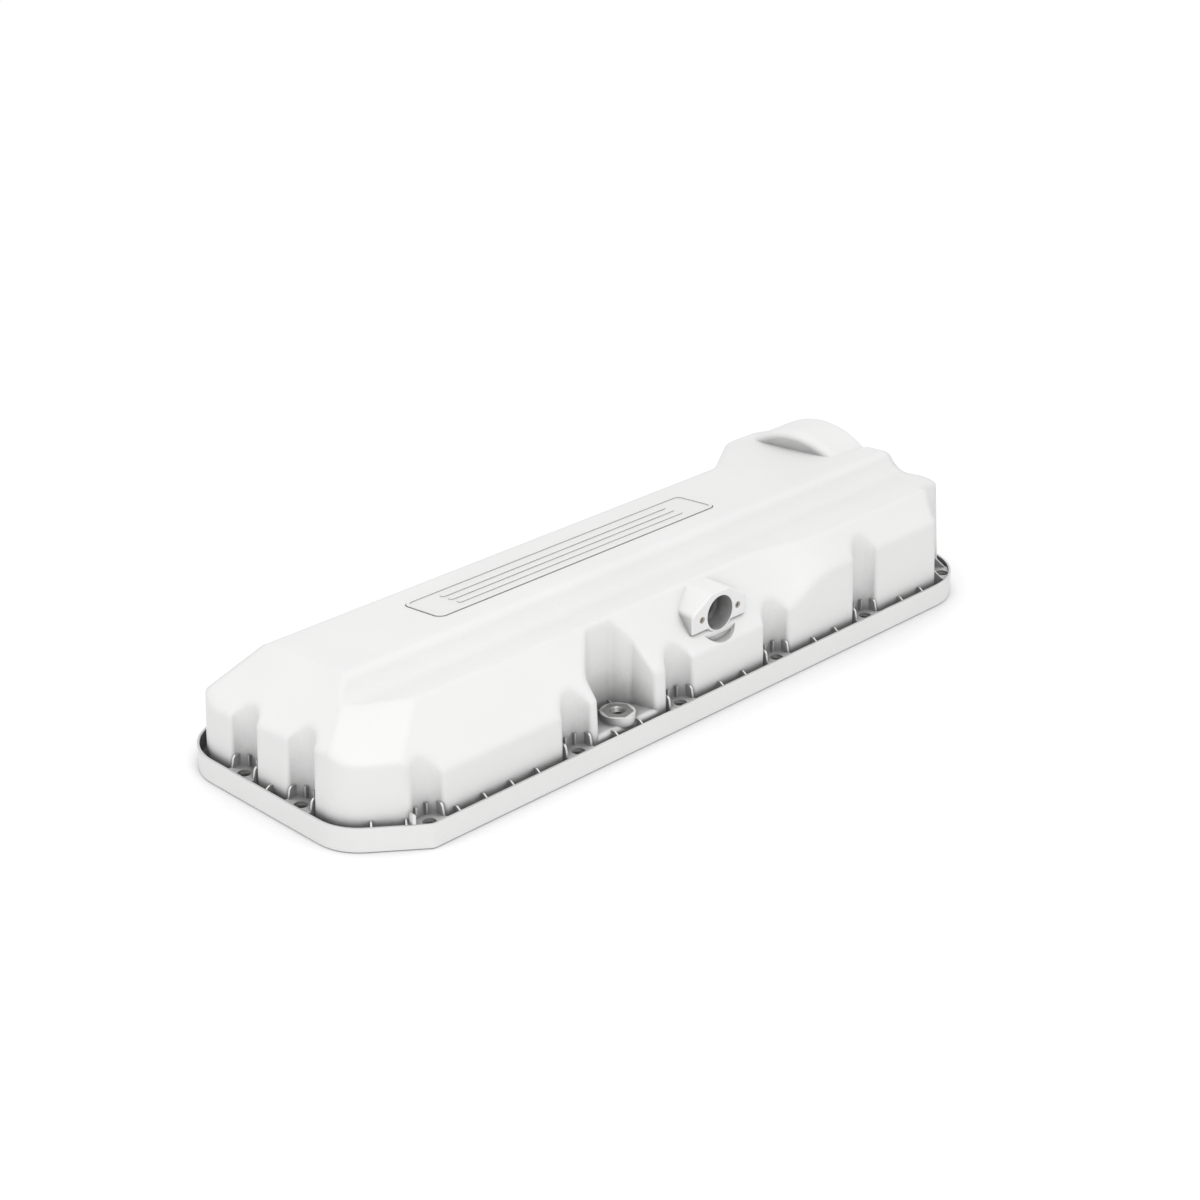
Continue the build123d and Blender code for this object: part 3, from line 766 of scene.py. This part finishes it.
def tree_limiters():
    """Rolled tube with an open seam, set on every point and turned by its own angle."""
    tree, given, out = geometry_tree(
        "rolled_limiter", ("Outer Radius", "Wall", "Height", "Slit", "Edge Break")
    )
    link = tree.links.new
    middle = maths(
        tree, "SUBTRACT", given["Outer Radius"], maths(tree, "MULTIPLY", given["Wall"], 0.5)
    )
    gap = maths(tree, "DIVIDE", given["Slit"], middle)
    arc = node(tree, "GeometryNodeCurveArc", (-900, 200), mode="RADIUS")
    arc.inputs["Resolution"].default_value = 44
    link(middle, arc.inputs["Radius"])
    link(maths(tree, "MULTIPLY", gap, 0.5), arc.inputs["Start Angle"])
    link(maths(tree, "SUBTRACT", math.tau, gap), arc.inputs["Sweep Angle"])
    upright = node(tree, "GeometryNodeSetCurveNormal", (-700, 200), mode="Z_UP")
    link(arc.outputs["Curve"], upright.inputs["Curve"])
    box = node(tree, "GeometryNodeCurvePrimitiveQuadrilateral", (-900, -100))
    link(given["Wall"], box.inputs["Width"])
    link(given["Height"], box.inputs["Height"])
    rounded = node(tree, "GeometryNodeFilletCurve", (-700, -100), mode="POLY")
    rounded.inputs["Count"].default_value = 2
    link(box.outputs[0], rounded.inputs["Curve"])
    link(given["Edge Break"], rounded.inputs["Radius"])
    tube = swept(tree, upright.outputs[0], rounded.outputs[0], caps=True, place=(-400, 100))
    turn = node(tree, "GeometryNodeInputNamedAttribute", (-400, -200), data_type="FLOAT")
    turn.inputs["Name"].default_value = "turn"
    spin = node(tree, "FunctionNodeEulerToRotation", (-150, -200))
    link(vector(tree, 0.0, 0.0, turn.outputs["Attribute"]), spin.inputs[0])
    placed = node(tree, "GeometryNodeInstanceOnPoints", (100, 100))
    link(given["Geometry"], placed.inputs["Points"])
    link(tube, placed.inputs["Instance"])
    link(spin.outputs[0], placed.inputs["Rotation"])
    close_tree(tree, out, [placed.outputs[0]], given["Material"])
    return tree


def tree_thread():
    """Ridge of a thread along a helix, set on every point of the object and turned with it."""
    tree, given, out = geometry_tree(
        "thread_ridge", ("Bore Radius", "Length", "Pitch", "Ridge"), vectors=("Turn",)
    )
    link = tree.links.new
    helix = node(tree, "GeometryNodeCurveSpiral", (-900, 200))
    helix.inputs["Resolution"].default_value = 28
    link(maths(tree, "DIVIDE", given["Length"], given["Pitch"]), helix.inputs["Rotations"])
    link(given["Bore Radius"], helix.inputs["Start Radius"])
    link(given["Bore Radius"], helix.inputs["End Radius"])
    link(given["Length"], helix.inputs["Height"])
    upright = node(tree, "GeometryNodeSetCurveNormal", (-700, 200), mode="Z_UP")
    link(helix.outputs[0], upright.inputs["Curve"])
    ridge = node(tree, "GeometryNodeCurvePrimitiveCircle", (-700, -100))
    ridge.inputs["Resolution"].default_value = 4
    link(given["Ridge"], ridge.inputs["Radius"])
    body = swept(tree, upright.outputs[0], ridge.outputs[0], caps=True, place=(-400, 100))
    middle = node(tree, "GeometryNodeTransform", (-200, 100))
    link(body, middle.inputs["Geometry"])
    drop = maths(tree, "MULTIPLY", given["Length"], -0.5)
    link(vector(tree, 0.0, 0.0, drop), middle.inputs["Translation"])
    spin = node(tree, "FunctionNodeEulerToRotation", (-150, -200))
    link(given["Turn"], spin.inputs[0])
    placed = node(tree, "GeometryNodeInstanceOnPoints", (100, 100))
    link(given["Geometry"], placed.inputs["Points"])
    link(middle.outputs[0], placed.inputs["Instance"])
    link(spin.outputs[0], placed.inputs["Rotation"])
    close_tree(tree, out, [placed.outputs[0]], given["Material"])
    return tree


# ---- pieces ---------------------------------------------------------------------------
def grown(name, source, tree, values, material):
    """Runs a tree on an object and keeps the result as a plain mesh of its own."""
    bpy.context.scene.collection.objects.link(source)
    modifier = source.modifiers.new("nodes", "NODES")
    modifier.node_group = tree
    for item in tree.interface.items_tree:
        if item.in_out == "INPUT" and item.name in values:
            modifier[item.identifier] = values[item.name]
        elif item.in_out == "INPUT" and item.name == "Material":
            modifier[item.identifier] = material
    bpy.context.view_layer.update()
    seen = source.evaluated_get(bpy.context.evaluated_depsgraph_get())
    mesh = bpy.data.meshes.new_from_object(seen)
    bpy.data.objects.remove(source)
    mesh.name = name
    shape = bmesh.new()
    shape.from_mesh(mesh)
    bmesh.ops.remove_doubles(shape, verts=shape.verts, dist=1e-7)
    bmesh.ops.recalc_face_normals(shape, faces=shape.faces)
    for face in shape.faces:
        face.material_index = 0
    shape.to_mesh(mesh)
    shape.free()
    mesh.materials.clear()
    mesh.materials.append(material)
    piece = bpy.data.objects.new(name, mesh)
    bpy.context.scene.collection.objects.link(piece)
    return piece


def shade(piece, angle=35.0):
    """Smooth faces, with edges sharper than the angle kept."""
    shape = bmesh.new()
    shape.from_mesh(piece.data)
    limit = math.radians(angle)
    for face in shape.faces:
        face.smooth = True
    for edge in shape.edges:
        if len(edge.link_faces) != 2 or edge.calc_face_angle(0.0) > limit:
            edge.smooth = False
    shape.to_mesh(piece.data)
    shape.free()


def finish_piece(piece, slot_name, *nodes):
    if nodes:
        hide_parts(*nodes)
    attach(piece, BODY)


def points_object(name, places, turns=()):
    mesh = bpy.data.meshes.new(name)
    mesh.from_pydata([tuple(place) for place in places], [], [])
    if turns:
        layer = mesh.attributes.new("turn", "FLOAT", "POINT")
        layer.data.foreach_set("value", turns)
    return bpy.data.objects.new(name, mesh)


def rim_loops(node_name):
    """Closed lines round the bottom face of a ring-shaped node, longest first."""
    shape = bmesh.new()
    shape.from_mesh(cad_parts[node_name].data)
    bmesh.ops.remove_doubles(shape, verts=shape.verts, dist=1e-6)
    floor = min(vertex.co.z for vertex in shape.verts)
    links = {}
    for edge in shape.edges:
        if any(vertex.co.z > floor + 1e-6 for vertex in edge.verts):
            continue
        level = [abs(face.normal.z) > 0.5 for face in edge.link_faces]
        if level.count(True) == 1:
            first, second = edge.verts
            links.setdefault(first, []).append(second)
            links.setdefault(second, []).append(first)
    loops = []
    while links:
        start = min(links, key=lambda vertex: vertex.index)
        loop, last, here = [], None, start
        while here in links:
            loop.append(here.co.copy())
            onward = [other for other in links.pop(here) if other is not last]
            last = here
            here = next((other for other in onward if other in links), start)
        loops.append(loop)
    shape.free()

    def length(loop):
        return sum((a - b).length for a, b in zip(loop, loop[1:] + loop[:1]))

    return sorted(loops, key=length, reverse=True)


def middle_line(outer, inner):
    """Line half way between two closed lines, with a point for each one of the outer."""
    line = []
    for point in outer:
        near = min(
            (closest_on(point, a, b) for a, b in zip(inner, inner[1:] + inner[:1])),
            key=lambda other: (other - point).length_squared,
        )
        line.append((point + near) / 2.0)
    return line


def closest_on(point, a, b):
    side = b - a
    share = (point - a).dot(side) / max(side.length_squared, 1e-18)
    return a + side * min(max(share, 0.0), 1.0)


# ---- operators ------------------------------------------------------------------------
class COVER_OT_stage(Operator):
    """Floor, sky, lamps and the camera"""

    bl_idname = "cover.stage"
    bl_label = "Stage"

    def execute(self, context):
        look = context.scene.cover_stage
        scene = context.scene
        scene.view_settings.view_transform = "Standard"
        self.place_camera(scene, look)
        self.lay_floor(scene, look)
        self.light_sky(scene, look)
        self.hang_lamp(scene, "key_lamp", (-1.2, -2.6, 3.0), 2.6, look.key_power)
        self.hang_lamp(scene, "side_lamp", (-3.0, 0.4, 2.2), 2.2, look.key_power * 0.3)
        return {"FINISHED"}

    def place_camera(self, scene, look):
        sensor = bpy.data.cameras.new("camera")
        sensor.lens = look.lens
        sensor.sensor_width = 36.0
        sensor.clip_end = 100.0
        camera = bpy.data.objects.new("camera", sensor)
        scene.collection.objects.link(camera)
        flat = math.cos(look.elevation)
        gaze = Vector(
            (
                flat * math.cos(look.azimuth),
                flat * math.sin(look.azimuth),
                -math.sin(look.elevation),
            )
        )
        camera.location = look.eye
        camera.rotation_euler = gaze.to_track_quat("-Z", "Y").to_euler()
        scene.camera = camera

    def lay_floor(self, scene, look):
        mesh = bpy.data.meshes.new("floor")
        half = FLOOR_HALF
        corners = [(-half, -half, 0), (half, -half, 0), (half, half, 0), (-half, half, 0)]
        mesh.from_pydata(corners, [], [(0, 1, 2, 3)])
        floor = bpy.data.objects.new("floor", mesh)
        scene.collection.objects.link(floor)
        mesh.materials.append(self.floor_material(look))

    def light_sky(self, scene, look):
        world = bpy.data.worlds.new("sky")
        scene.world = world
        world.use_nodes = True
        tree = world.node_tree
        tree.nodes.clear()
        out = node(tree, "ShaderNodeOutputWorld", (400, 0))
        mix = node(tree, "ShaderNodeMixShader", (200, 0))
        tree.links.new(seen_rays(tree), mix.inputs["Fac"])
        for index, strength in ((1, look.sky_strength), (2, 1.0)):
            even = node(tree, "ShaderNodeBackground", (-50, 200 - 200 * index))
            even.inputs["Color"].default_value = WHITE
            even.inputs["Strength"].default_value = strength
            tree.links.new(even.outputs[0], mix.inputs[index])
        tree.links.new(mix.outputs[0], out.inputs["Surface"])

    def hang_lamp(self, scene, name, place, size, power):
        data = bpy.data.lights.new(name, "AREA")
        data.shape = "DISK"
        data.size = size
        data.energy = power
        lamp = bpy.data.objects.new(name, data)
        scene.collection.objects.link(lamp)
        lamp.location = place
        aim = LAMP_AIM - Vector(place)
        lamp.rotation_euler = aim.to_track_quat("-Z", "Y").to_euler()

    def floor_material(self, look):
        made = bpy.data.materials.new("studio_floor")
        made.use_nodes = True
        tree = made.node_tree
        tree.nodes.clear()
        out = node(tree, "ShaderNodeOutputMaterial", (500, 0))
        matte = node(tree, "ShaderNodeBsdfDiffuse", (-100, 0))
        matte.inputs["Color"].default_value = look.floor_colour
        bounce = node(tree, "ShaderNodeBsdfDiffuse", (-100, 150))
        bounce.inputs["Color"].default_value = look.floor_bounce
        glow = node(tree, "ShaderNodeEmission", (-100, -150))
        glow.inputs["Color"].default_value = WHITE
        # Painted shadow: ambient occlusion dims the floor's glow near the cover, darker than
        # the matte part's real shadow alone.
        open_air = node(tree, "ShaderNodeAmbientOcclusion", (-700, -200), samples=8)
        open_air.inputs["Distance"].default_value = look.shadow_reach
        level = remap(
            tree,
            open_air.outputs["AO"],
            span=(0.30, 1.0),
            target=(0.0, look.floor_glow),
            smooth=True,
            place=(-450, -200),
        )
        tree.links.new(level, glow.inputs["Strength"])
        both = node(tree, "ShaderNodeAddShader", (100, -80))
        pick = node(tree, "ShaderNodeMixShader", (300, 0))
        tree.links.new(matte.outputs[0], both.inputs[0])
        tree.links.new(glow.outputs[0], both.inputs[1])
        tree.links.new(seen_rays(tree), pick.inputs["Fac"])
        tree.links.new(bounce.outputs[0], pick.inputs[1])
        tree.links.new(both.outputs[0], pick.inputs[2])
        tree.links.new(pick.outputs[0], out.inputs["Surface"])
        return made


class COVER_OT_shell(Operator):
    """Skin of the moulded shell"""

    bl_idname = "cover.shell"
    bl_label = "Moulded shell"

    def execute(self, context):
        look = context.scene.cover_moulding
        skin = surface(
            "grained_polymer_skin",
            shared_group("mould_skin", group_mould_skin),
            moulded_settings(look),
            bump=look.grain_depth,
            soften=crown_blend(look),
            specular=0.45,
            # Shade painted into the shell's recesses, to the full reach.
            painted_shade=painted_shade_settings(look, reach=1.0),
        )
        dress("cover_shell", skin)
        return {"FINISHED"}


class COVER_OT_port_wall(Operator):
    """Wall that closes the relief under the port"""

    bl_idname = "cover.port_wall"
    bl_label = "Port wall"

    def execute(self, context):
        look = context.scene.cover_moulding
        skin = surface(
            "port_wall_skin",
            shared_group("mould_skin", group_mould_skin),
            moulded_settings(look),
            bump=look.grain_depth,
            specular=0.45,
            # Shade painted where the shell's walls close round this wall.
            painted_shade=painted_shade_settings(look, reach=0.6),
            own_walls_only=False,
        )
        shape = bmesh.new()
        rows = [
            [shape.verts.new(point) for point in row] for row in self.sections(look)
        ]
        for row, after in zip(rows, rows[1:]):
            for index in range(len(row)):
                turn = index - 1
                shape.faces.new((row[turn], row[index], after[index], after[turn]))
        shape.faces.new(rows[0])
        shape.faces.new(reversed(rows[-1]))
        bmesh.ops.recalc_face_normals(shape, faces=shape.faces)
        mesh = bpy.data.meshes.new("port_relief_wall")
        shape.to_mesh(mesh)
        shape.free()
        mesh.materials.append(skin)
        wall = bpy.data.objects.new("port_relief_wall", mesh)
        context.scene.collection.objects.link(wall)
        shade(wall)
        finish_piece(wall, "moulded_polymer")
        return {"FINISHED"}

    def sections(self, look):
        """L-shaped sections round the port's axis, their fronts just behind the shell's."""
        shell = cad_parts["cover_shell"]
        port = port_middle()
        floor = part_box(BUSHES[0])[0].y + 0.0002
        back = floor + look.relief_wall
        thinnest = 0.0005
        deepest = floor + 0.02
        before = Vector((0.0, floor - 0.05, 0.0))
        inward = Vector((0.0, 1.0, 0.0))
        inner = look.relief_radius + 0.0003
        outer = inner + look.relief_wall
        for step in range(WALL_STEPS + 1):
            angle = math.radians(WALL_START + WALL_SWEEP * step / WALL_STEPS)
            away = Vector((math.cos(angle), 0.0, math.sin(angle)))

            def front(radius, sunk, probe=0.0):
                """Depth of the wall's front, felt with a ray a probe further out."""
                start = before + Vector((port.x, 0.0, port.z)) + away * (radius + probe)
                found, place, _, _ = shell.ray_cast(start, inward)
                near = found and place.y < deepest
                return min(place.y + sunk, back - thinnest) if near else floor

            points = [(WALL_SEAT, front(WALL_SEAT, SEAT_SUNK))]
            for radius in WALL_RADII:
                points.append((radius, max(floor, front(radius, FACE_SUNK))))
            points.append((inner, points[-1][1]))
            points.append((inner, front(inner, RIM_SUNK, probe=0.0007)))
            points.append((outer, front(outer, RIM_SUNK)))
            points += [(outer, back), (WALL_SEAT, back)]
            yield [
                (port.x + away.x * radius, depth, port.z + away.z * radius)
                for radius, depth in points
            ]


class COVER_OT_plate(Operator):
    """Skin of the plain plate on the roof"""

    bl_idname = "cover.plate"
    bl_label = "Roof plate"

    def execute(self, context):
        look = context.scene.cover_moulding
        skin = surface(
            "plate_skin",
            shared_group("mould_skin", group_mould_skin),
            {
                "Colour": look.plate_colour,
                "Roughness": 0.36,
                "Grain Size": 0.0007,
                "Drift": 0.02,
            },
            bump=0.00002,
            soften=0.0005,
            # A little shade painted close to the walls round the plate.
            painted_shade=painted_shade_settings(look, reach=0.12),
            own_walls_only=False,
        )
        dress("name_plate", skin)
        return {"FINISHED"}


class COVER_OT_limiters(Operator):
    """Rolled steel limiters in the bolt pads"""

    bl_idname = "cover.limiters"
    bl_label = "Limiters"

    def execute(self, context):
        look = context.scene.cover_metal
        steel = steel_surface(look)
        low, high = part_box(LIMITERS[0])
        places = [box_middle(name) for name in LIMITERS]
        turns = [math.atan2(place.y, place.x) for place in places]
        source = points_object("limiter_points", places, turns)
        values = {
            "Outer Radius": (high.x - low.x) / 2.0,
            "Wall": look.limiter_wall,
            "Height": high.z - low.z,
            "Slit": look.slit,
            "Edge Break": look.edge_break,
        }
        rings = grown("limiter_rings", source, tree_limiters(), values, steel)
        shade(rings)
        finish_piece(rings, "limiter_steel", *LIMITERS)
        for name in LIMITERS:
            dress(name, steel)
        return {"FINISHED"}


class COVER_OT_inserts(Operator):
    """Hexagon insert and port bushes with their threads"""

    bl_idname = "cover.inserts"
    bl_label = "Inserts"

    def execute(self, context):
        look = context.scene.cover_metal
        steel = steel_surface(look)
        bush = turned_surface(
            "turned_bush", look.bush_colour, roughness=0.32, line_scale=1200.0
        )
        dress("hex_insert", steel)
        for name in BUSHES:
            dress(name, bush)
        tree = tree_thread()
        upright = (0.0, 0.0, 0.0)
        lying = (math.pi / 2.0, 0.0, 0.0)
        for label, names, thread, turn, skin, slot_name in (
            ("hex_thread", ("hex_insert",), HEX_THREAD, upright, steel, "limiter_steel"),
            ("bush_threads", BUSHES, BUSH_THREAD, lying, bush, "insert_brass"),
        ):
            places = [box_middle(name) for name in names]
            source = points_object(label + "_points", places)
            fineness = thread["Bore Radius"] / HEX_THREAD["Bore Radius"]
            ridge_height = look.thread_ridge * fineness**0.5
            values = {**thread, "Ridge": ridge_height, "Turn": turn}
            ridge = grown(label, source, tree, values, skin)
            shade(ridge, 60.0)
            finish_piece(ridge, slot_name)
        return {"FINISHED"}


class COVER_OT_seal(Operator):
    """Pressed-in rubber seal under the wall"""

    bl_idname = "cover.seal"
    bl_label = "Seal"

    def execute(self, context):
        look = context.scene.cover_seal
        rubber = surface(
            "seal_rubber_skin",
            shared_group("mould_skin", group_mould_skin),
            {
                "Colour": (0.03, 0.03, 0.032, 1.0),
                "Roughness": 0.62,
                "Grain Size": 0.0009,
                "Drift": 0.2,
            },
            bump=0.00005,
            specular=0.35,
        )
        low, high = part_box("perimeter_gasket")
        outer, inner = rim_loops("perimeter_gasket")[:2]
        level = (low.z + high.z) / 2.0
        line = [(point.x, point.y, level) for point in middle_line(outer, inner)]
        data = bpy.data.curves.new("seal_line", "CURVE")
        data.dimensions = "3D"
        spline = data.splines.new("POLY")
        spline.points.add(len(line) - 1)
        for point, place in zip(spline.points, line):
            point.co = (*place, 1.0)
        spline.use_cyclic_u = True
        values = {
            "Width": look.width,
            "Height": high.z - low.z,
            "Lip Radius": look.lip_radius,
            "Lip Spacing": look.lip_spacing,
            "Nub Pitch": look.nub_pitch,
            "Nub Radius": look.nub_radius,
            "Step": look.step,
        }
        source = bpy.data.objects.new("seal_line", data)
        seal = grown("pressed_seal", source, tree_seal(), values, rubber)
        shade(seal, 40.0)
        finish_piece(seal, "seal_rubber", "perimeter_gasket")
        dress("perimeter_gasket", rubber)
        return {"FINISHED"}


class COVER_PT_pieces(Panel):
    """Lists the steps that finish the cover"""

    bl_idname = "COVER_PT_pieces"
    bl_label = "Valve cover"
    bl_space_type = "VIEW_3D"
    bl_region_type = "UI"
    bl_category = "Valve cover"

    def draw(self, context):
        for step in STEPS:
            self.layout.operator(step.bl_idname)


SETTINGS = {
    "cover_moulding": MouldingLook,
    "cover_seal": SealLook,
    "cover_metal": MetalLook,
    "cover_stage": StageLook,
}
STEPS = (
    COVER_OT_stage,
    COVER_OT_shell,
    COVER_OT_port_wall,
    COVER_OT_plate,
    COVER_OT_limiters,
    COVER_OT_inserts,
    COVER_OT_seal,
)
CLASSES = (*SETTINGS.values(), *STEPS, COVER_PT_pieces)


def register():
    for item in CLASSES:
        bpy.utils.register_class(item)
    for name, settings in SETTINGS.items():
        setattr(bpy.types.Scene, name, PointerProperty(type=settings))


def unregister():
    for name in reversed(SETTINGS):
        delattr(bpy.types.Scene, name)
    for item in reversed(CLASSES):
        bpy.utils.unregister_class(item)


def main():
    register()
    bpy.ops.cover.stage()
    bpy.ops.cover.shell()
    bpy.ops.cover.port_wall()
    bpy.ops.cover.plate()
    bpy.ops.cover.limiters()
    bpy.ops.cover.inserts()
    bpy.ops.cover.seal()
    bpy.context.view_layer.update()


if __name__ == "__main__":
    main()
